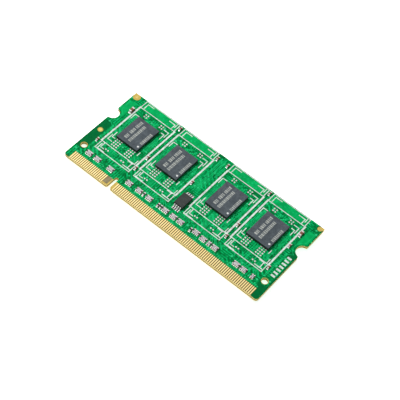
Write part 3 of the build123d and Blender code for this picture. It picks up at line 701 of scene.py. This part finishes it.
def route_sites(face):
    """Tracks from the row of arrays up to each package, or up beside it and then in."""
    starts = face.lands_between(*UPPER_LANDS)
    for site in SITES:
        mine = sorted((p for p in starts if abs(p.x - site) < SITE_REACH), key=lambda p: p.x)
        spare = list(LANES)
        for rank, start in enumerate(mine):
            left_over = len(mine) - rank - 1
            choice = min(range(len(spare) - left_over), key=lambda k: abs(site + spare[k] - start.x))
            lane = spare[choice]
            spare = spare[choice + 1:]
            beside = abs(lane) > SIDE
            end = CHIP_Y - 1.5 + 0.9 * (rank % 5) if beside else PACKAGE_FOOT
            face.trace(*jog(start.x, start.y + LAND_REACH, site + lane, end, 0.35))
            if beside:
                inner = math.copysign(SIDE_END, lane)
                face.trace((site + lane, end - LAP), (site + inner, end + abs(lane - inner)))
        for lane in spare:
            if abs(lane) < SIDE and rng.random() < SPARE_LANE_SHARE:
                low = LOW + 9.9 + 0.5 * rng.randrange(3)
                face.trace((site + lane, low), (site + lane, PACKAGE_FOOT))
                face.via(site + lane, low)


def tuned(face, x, low, high, reach):
    """A length-tuned track: a square wave between two straight ends."""
    path, y, out = [(x, low), (x, low + TUNED_LEAD)], low + TUNED_LEAD, False
    while y + TUNED_STEP < high - TUNED_LEAD:
        out = not out
        offset = reach if out else 0.0
        path += [(x + offset, y), (x + offset, y + TUNED_STEP)]
        y += TUNED_STEP
    face.trace(*path, (x, y), (x, high))


def route_sides(face):
    """Tuned tracks on one side of each package, plain ones on the other, and a fan and vias above it."""
    way = face.way
    for site in SITES:
        for k in range(TUNED_TRACKS):
            x = site + way * (TUNED_FIRST + TUNED_PITCH * k)
            low, high = CHIP_Y - 3.4 + 0.5 * k, CHIP_Y + 3.1 - 0.35 * k
            tuned(face, x, low, high, way * TUNED_REACH)
            turn, inner = x - way * BEND, site + way * SIDE_END
            face.trace((x, high - LAP), (turn, high + BEND), (inner, high + BEND))
            face.trace((x, low + LAP), (turn, low - BEND), (inner, low - BEND))
        for k in range(PLAIN_TRACKS):
            x = site - way * (PLAIN_FIRST + PLAIN_PITCH * k)
            low, high = CHIP_Y - 2.6 + 0.8 * k, CHIP_Y + 4.4 + 0.3 * k
            face.trace((site - way * SIDE_END, low - 0.4), (x, low), (x, high))
            face.via(x, high)
        for k in range(FAN_TRACKS):
            x = site + (k - FAN_TRACKS // 2) * FAN_PITCH
            high = CHIP_Y + 5.6 + FAN_PITCH * ((k * 5) % 4)
            face.trace((x, CHIP_Y + 4.6), (x, high - 0.3), (x + 0.3, high))
            face.via(x + 0.3, high)
        for k in range(TOP_VIAS):
            face.via(site + TOP_VIA_FIRST + TOP_VIA_PITCH * k, HIGH - 2.3 + 0.55 * ((k * 7) % 3))


def route_middle(face):
    """Tracks in the middle of the board and at its ends, and a row of vias above the arrays."""
    centre = (SITES[1] + SITES[2]) / 2
    for k in range(MIDDLE_TRACKS):
        x, turn = centre + MIDDLE_FIRST + MIDDLE_PITCH * k, LOW + 19.5 + MIDDLE_PITCH * k
        shift = 0.55 if k % 3 else -0.35
        low, high = LOW + 15.3 + 0.25 * (k % 4), HIGH - 1.2 - 0.5 * (k % 3)
        face.trace((x, low), (x, turn), (x + shift, turn + abs(shift)), (x + shift, high))
        face.via(x + shift, high)
        face.via(x, low)
    for x in (LEFT + 3.1, LEFT + 3.4, RIGHT - 3.2, RIGHT - 2.9):
        face.trace((x, LOW + 7.2), (x, LOW + 12.2), (x + 0.25, LOW + 12.45), (x + 0.25, LOW + 16.5))
        face.via(x, LOW + 7.2)
        face.via(x + 0.25, LOW + 16.5)
    for k in range(ROW_VIAS):
        face.via(LEFT + ROW_VIA_FIRST + ROW_VIA_PITCH * k, LOW + 6.75 + 0.3 * (k % 2))


def route_arcs(face):
    """Curved bundles round the lower outer corner of each package."""
    ends = facing(face.way, -75, 50)
    for site in SITES:
        for k in range(ARC_TRACKS):
            radius = ARC_FIRST + ARC_PITCH * k
            curve = arc(site + face.way * 3.3, CHIP_Y - 6.9, radius, *ends, ARC_STEPS)
            face.trace(*curve, width=FINE_TRACE)


def route_rims(face):
    """The edge of the ground copper, seen as a line round the latch notches."""
    for edge, way in ((LEFT, 1), (RIGHT, -1)):
        curve = arc(edge, NOTCH_Y, RIM_RADIUS, *facing(way, -62, 62), RIM_STEPS)
        outer = edge + way * 0.9
        face.trace((edge + way * 3.0, LOW + 16.4), *curve, (outer, LOW + 23.2), (outer, HIGH - 3.4))


def cut_rectangle(x0, x1, y0, y1):
    """A rectangle with its corners cut off."""
    cut = POUR_CORNER
    return [(x0 + cut, y0), (x1 - cut, y0), (x1, y0 + cut), (x1, y1 - cut),
            (x1 - cut, y1), (x0 + cut, y1), (x0, y1 - cut), (x0, y0 + cut)]


def pour_areas(face):
    """Copper areas: the strips along the top and the corners above the latch notches."""
    for site in SITES:
        face.pour(cut_rectangle(site - 5.85, site + 6.0, LOW + 27.1, HIGH - 0.45))
    for edge, way, top in ((LEFT, 1, HIGH - 3.1), (RIGHT, -1, HIGH - 3.4)):
        curve = arc(edge, NOTCH_Y, AREA_RADIUS, *facing(way, 90, 20), AREA_STEPS)[1:]
        outer, inner = edge + way * 0.4, edge + way * 2.85
        outline = [(outer, top), (outer, NOTCH_Y + 2.33), *curve, (inner, curve[-1][1]), (inner, top)]
        face.pour(outline if way < 0 else outline[::-1])


# Bars on an array: their number, width as a share of their pitch, reach as a share of the glaze, and height
BARS, BAR_SHARE = 5, 0.72
BARS_REACH_X, BARS_REACH_Y = 0.33, 0.36
BAR_SUNK, BAR_RISE = 0.004, 0.006


def glaze_marks():
    """Pale printed blocks on the dark glaze of every array: plain bars in place of its value."""
    bm = bmesh.new()
    for low, high in islands("array_glaze"):
        x, y = (low.x + high.x) / 2, (low.y + high.y) / 2
        surface, way = (high.z, 1) if low.z > FRONT_TOP else (low.z, -1)
        wide, deep = (high.x - low.x) * BARS_REACH_X, (high.y - low.y) * BARS_REACH_Y
        for k in range(BARS):
            left = x - wide + 2 * wide * (k + (1 - BAR_SHARE) / 2) / BARS
            right = x - wide + 2 * wide * (k + (1 + BAR_SHARE) / 2) / BARS
            outline = rectangle(left, right, y - deep, y + deep)
            plate(bm, outline, [], surface - way * BAR_SUNK, surface + way * BAR_RISE)
    keep("array_marks", bm, "ink")


glaze_marks()

for face in (Face("front", FRONT_TOP, 1), Face("back", BACK_TOP, -1)):
    route_contacts(face)
    route_sites(face)
    route_sides(face)
    route_middle(face)
    route_arcs(face)
    route_rims(face)
    pour_areas(face)
    face.keep()


# ---------------------------------------------------------------- stage, lights and camera
FLOOR_SIZE, FLOOR_DROP = 6.0, 0.00002
FLOOR_GLOW, SKY_GLOW = 0.75, 0.22
WHITE = (1, 1, 1, 1)


def floor_material():
    """A pale, evenly lit table of barely uneven tone."""
    shader = Shader("floor_finish")
    cloud = shader.noise(0.02, 2.0)
    shader.set(color=shader.mix(cloud, tone(246, 246, 246), tone(250, 250, 250)), rough=0.9, specular=0.0)
    shader.surface.inputs["Emission Color"].default_value = WHITE
    shader.surface.inputs["Emission Strength"].default_value = FLOOR_GLOW
    return shader.material


bpy.ops.mesh.primitive_plane_add(size=FLOOR_SIZE, location=(0, 0, -FLOOR_DROP))
floor = bpy.context.object
floor.name = "floor"
floor.data.materials.append(floor_material())

world = bpy.data.worlds.new("studio")
bpy.context.scene.world = world
world.use_nodes = True
sky = world.node_tree.nodes["Background"]
sky.inputs["Color"].default_value = WHITE
sky.inputs["Strength"].default_value = SKY_GLOW


def softbox(name, place, size, power):
    """A square lamp turned to the board's middle."""
    data = bpy.data.lights.new(name, "AREA")
    data.shape = "SQUARE"
    data.size = size
    data.energy = power
    light = bpy.data.objects.new(name, data)
    light.location = place
    light.rotation_euler = (-Vector(place)).to_track_quat("-Z", "Y").to_euler()
    bpy.context.scene.collection.objects.link(light)


softbox("key", place=(-0.34, 0.04, 0.68), size=0.16, power=4.6)
softbox("fill", place=(0.10, -0.45, 0.75), size=0.60, power=0.9)

bpy.context.scene.view_settings.view_transform = "Standard"

# Eye and aim are measured from the middle of the front face
EYE = Vector((98.45, -158.08, 260.62)) * MM
AIM = Vector((3.25, -1.035, 0.0)) * MM
ROLL = math.radians(10.30)
LENS, SENSOR = 106.4, 36.0
NEAREST = 0.01

data = bpy.data.cameras.new("camera")
data.lens = LENS
data.sensor_width = SENSOR
data.clip_start = NEAREST
camera = bpy.data.objects.new("camera", data)
camera.rotation_mode = "QUATERNION"
camera.location = EYE + Vector((0, 0, FRONT_TOP * MM))
turn = (AIM - EYE).to_track_quat("-Z", "Y").to_matrix()
camera.rotation_quaternion = (turn @ Matrix.Rotation(ROLL, 3, "Z")).to_quaternion()
bpy.context.scene.collection.objects.link(camera)
bpy.context.scene.camera = camera
